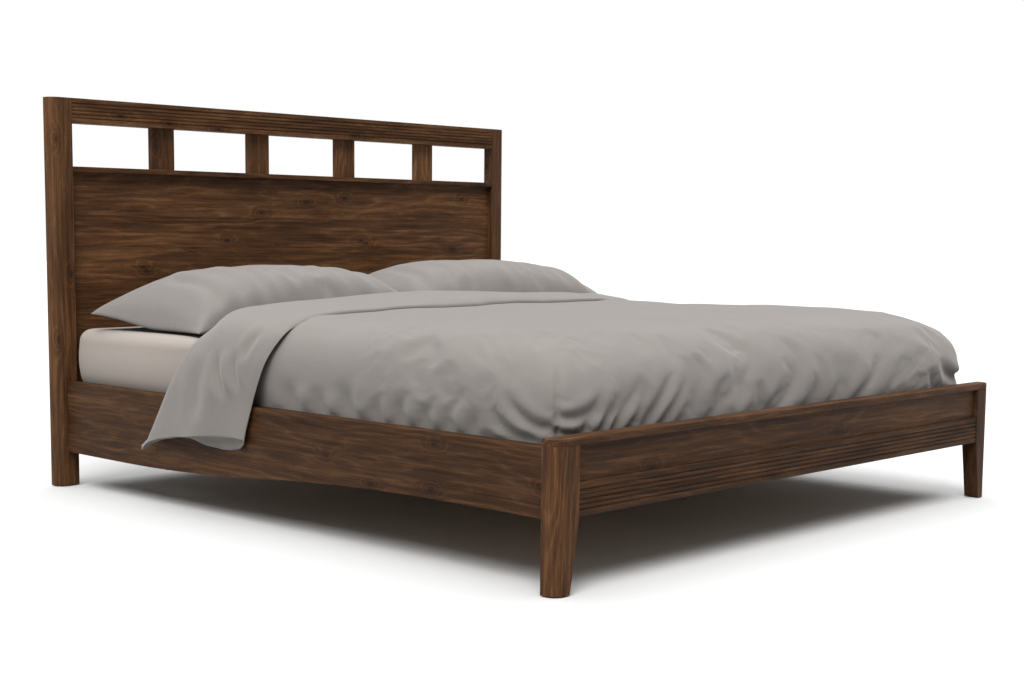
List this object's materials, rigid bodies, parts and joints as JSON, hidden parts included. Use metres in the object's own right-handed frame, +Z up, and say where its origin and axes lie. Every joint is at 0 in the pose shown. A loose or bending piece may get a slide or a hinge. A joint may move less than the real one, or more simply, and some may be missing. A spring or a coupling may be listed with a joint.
{
  "type": "wooden bed frame with bedding",
  "caption": "Low-foot-end wooden double bed: panelled headboard with a row of windows, reeded rails, shaped side rails, slatted base, mattress, pillows and turned-back duvet.",
  "frame": {"origin": "middle of the bed's footprint, on the floor", "axes": "+X across the bed, to the right for somebody at the foot who looks at the headboard; +Y from the foot to the headboard; +Z up"},
  "size_m": [1.956, 2.1, 1.183],
  "materials": {
    "show_wood": "dark walnut stain under satin lacquer",
    "base_wood": "planed raw pine",
    "steel": "zinc plated",
    "screw_steel": "yellow passivated zinc",
    "glide_nylon": "matt moulded nylon",
    "mattress_cover": "smooth fitted cotton sheet",
    "pillow_cover": "washed cotton percale",
    "duvet_cover": "washed cotton percale"
  },
  "bodies": {
    "root": {"beam_hanger_foot": "steel", "beam_hanger_head": "steel", "centre_beam": "base_wood", "centre_leg_bolts": "screw_steel", "centre_leg_foot": "base_wood", "centre_leg_head": "base_wood", "duvet": "duvet_cover", "floor_glides": "glide_nylon", "foot_cap_rail": "show_wood", "foot_panel": "show_wood", "foot_post_left": "show_wood", "foot_post_right": "show_wood", "foot_reeded_rail": "show_wood", "footboard_dowels": "base_wood", "hanger_screws": "screw_steel", "headboard_bottom_rail": "show_wood", "headboard_dowels": "base_wood", "headboard_mid_rail": "show_wood", "headboard_mullion_1": "show_wood", "headboard_mullion_2": "show_wood", "headboard_mullion_3": "show_wood", "headboard_mullion_4": "show_wood", "headboard_panel": "show_wood", "headboard_post_left": "show_wood", "headboard_post_right": "show_wood", "headboard_top_rail": "show_wood", "ledger_screws": "screw_steel", "mattress": "mattress_cover", "pillow_left": "pillow_cover", "pillow_right": "pillow_cover", "plate_screws": "screw_steel", "post_slot_plate_foot_left": "steel", "post_slot_plate_foot_right": "steel", "post_slot_plate_head_left": "steel", "post_slot_plate_head_right": "steel", "rail_hook_plate_foot_left": "steel", "rail_hook_plate_foot_right": "steel", "rail_hook_plate_head_left": "steel", "rail_hook_plate_head_right": "steel", "side_rail_left": "show_wood", "side_rail_right": "show_wood", "slat_01": "base_wood", "slat_02": "base_wood", "slat_03": "base_wood", "slat_04": "base_wood", "slat_05": "base_wood", "slat_06": "base_wood", "slat_07": "base_wood", "slat_08": "base_wood", "slat_09": "base_wood", "slat_10": "base_wood", "slat_11": "base_wood", "slat_12": "base_wood", "slat_13": "base_wood", "slat_ledger_left": "base_wood", "slat_ledger_right": "base_wood", "slat_screws": "screw_steel"}
  },
  "joints": []
}
